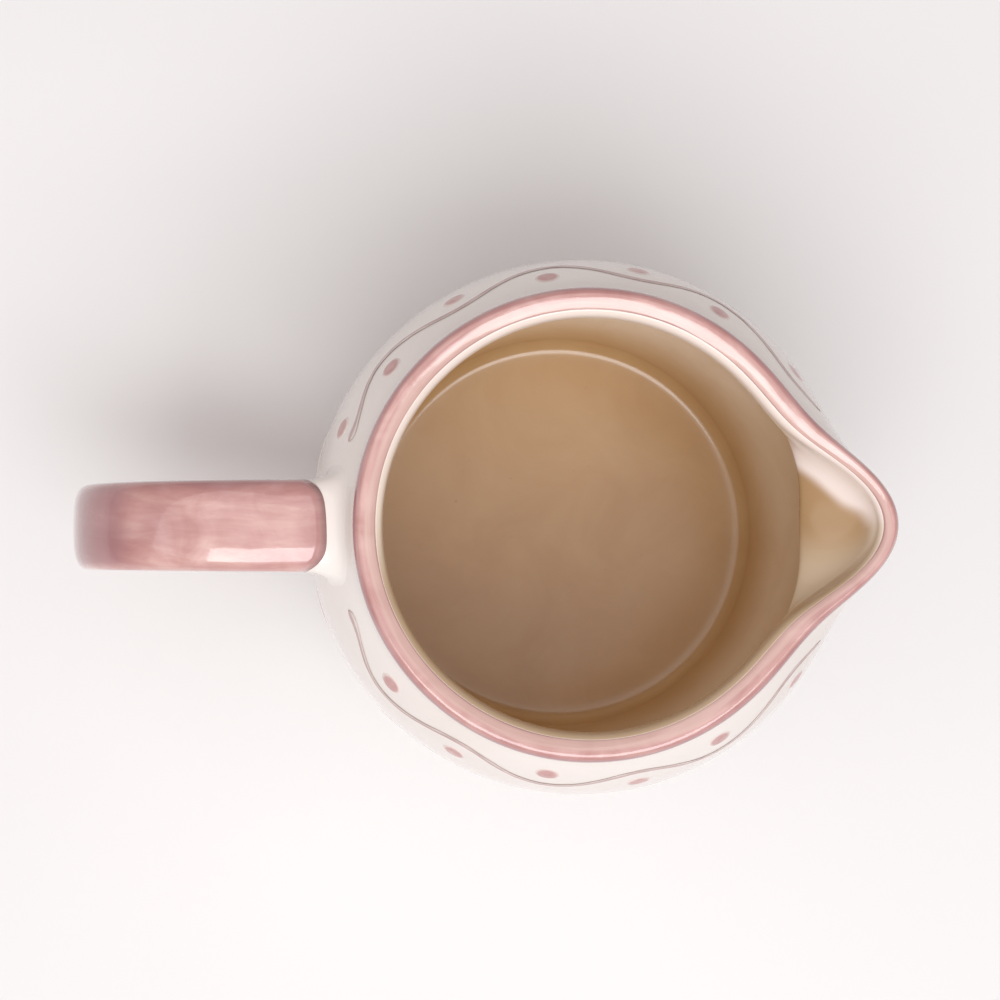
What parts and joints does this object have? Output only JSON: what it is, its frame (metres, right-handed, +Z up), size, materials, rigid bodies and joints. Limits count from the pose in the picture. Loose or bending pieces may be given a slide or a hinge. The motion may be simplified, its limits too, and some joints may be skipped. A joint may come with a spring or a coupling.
{
  "type": "cream jug",
  "caption": "Small round-bellied porcelain cream jug with a pulled spout, a strap handle, a painted lip, and a wavy line with dots round the shoulder.",
  "frame": {"origin": "on the axis of the round body, on the plane that the foot ring stands on", "axes": "+Z up, +X from the body's axis towards the tip of the spout, and the handle on -X"},
  "size_m": [0.1371, 0.092, 0.09],
  "materials": {
    "clear_glazed_porcelain": "clear gloss glaze over white porcelain",
    "bare_porcelain": "bare fired porcelain, rubbed smooth",
    "caramel_glaze": "gloss caramel glaze",
    "pink_colour": "brushed pink colour under gloss glaze",
    "mauve_colour": "brushed mauve colour under gloss glaze",
    "dusty_pink_colour": "brushed dusty pink colour under gloss glaze",
    "blush_colour": "soft blush colour under gloss glaze"
  },
  "bodies": {
    "root": {"body": "clear_glazed_porcelain", "foot_ring": "bare_porcelain", "handle": "clear_glazed_porcelain", "handle_upper_joint": "clear_glazed_porcelain", "handle_lower_joint": "clear_glazed_porcelain", "interior_glaze": "caramel_glaze", "rim_band": "pink_colour", "handle_wash": "pink_colour", "wavy_line": "mauve_colour", "painted_dots": "dusty_pink_colour", "blush_spots": "blush_colour"}
  },
  "joints": []
}
